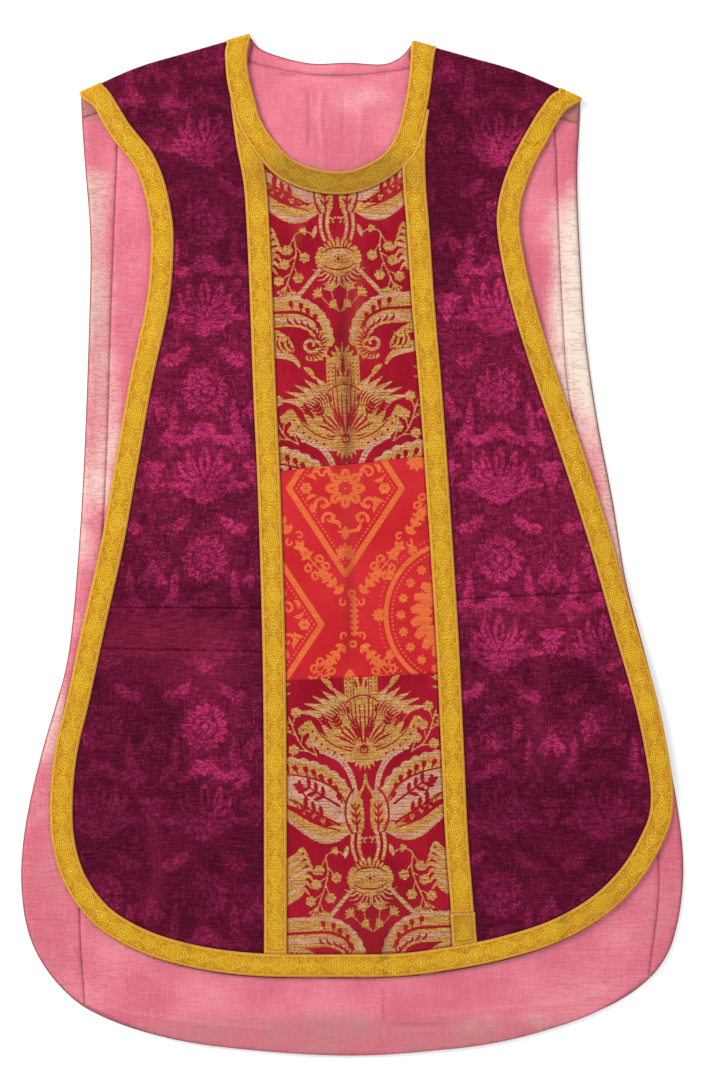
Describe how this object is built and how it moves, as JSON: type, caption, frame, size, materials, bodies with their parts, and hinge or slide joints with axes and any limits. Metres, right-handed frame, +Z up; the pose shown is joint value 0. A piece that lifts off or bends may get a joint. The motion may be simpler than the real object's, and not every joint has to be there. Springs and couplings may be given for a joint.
{
  "type": "fiddleback chasuble",
  "caption": "Lined silk chasuble of fiddleback cut, laid flat and face up, with a pieced centre column and gold braid round its edges.",
  "frame": {"origin": "centre of the bounding box in plan, on the surface that the garment lies on", "axes": "+Y runs from the hem to the neck, +X to the right as seen from above with the neck at the top, +Z up out of the front"},
  "size_m": [0.7014, 1.0822, 0.0092],
  "materials": {
    "damask": "purple silk damask, satin figure on a duller ground, mottled dye",
    "galloon": "woven gold-coloured braid with a lozenge figure, slight metallic sheen",
    "brocade": "red silk brocade with gold and silver flowers",
    "silk": "coral silk with an orange woven figure",
    "lining": "plain-woven pink cotton, matt, faded along the edges"
  },
  "bodies": {
    "root": {"back_shell": "damask", "back_edge_galloon": "galloon", "back_neck_galloon": "galloon", "back_lining_centre": "lining", "back_lining_left": "lining", "back_lining_right": "lining", "shoulder_lining_left": "lining", "shoulder_lining_right": "lining", "back_neck_facing": "lining", "front_side_left_upper": "damask", "front_side_left_middle": "damask", "front_side_left_lower": "damask", "front_side_right_upper": "damask", "front_side_right_lower": "damask", "column_brocade_upper": "brocade", "column_silk_middle": "silk", "column_brocade_lower": "brocade", "column_galloon_left": "galloon", "column_galloon_right": "galloon", "column_galloon_right_patch": "galloon", "neck_galloon": "galloon", "edge_galloon": "galloon"}
  },
  "joints": []
}
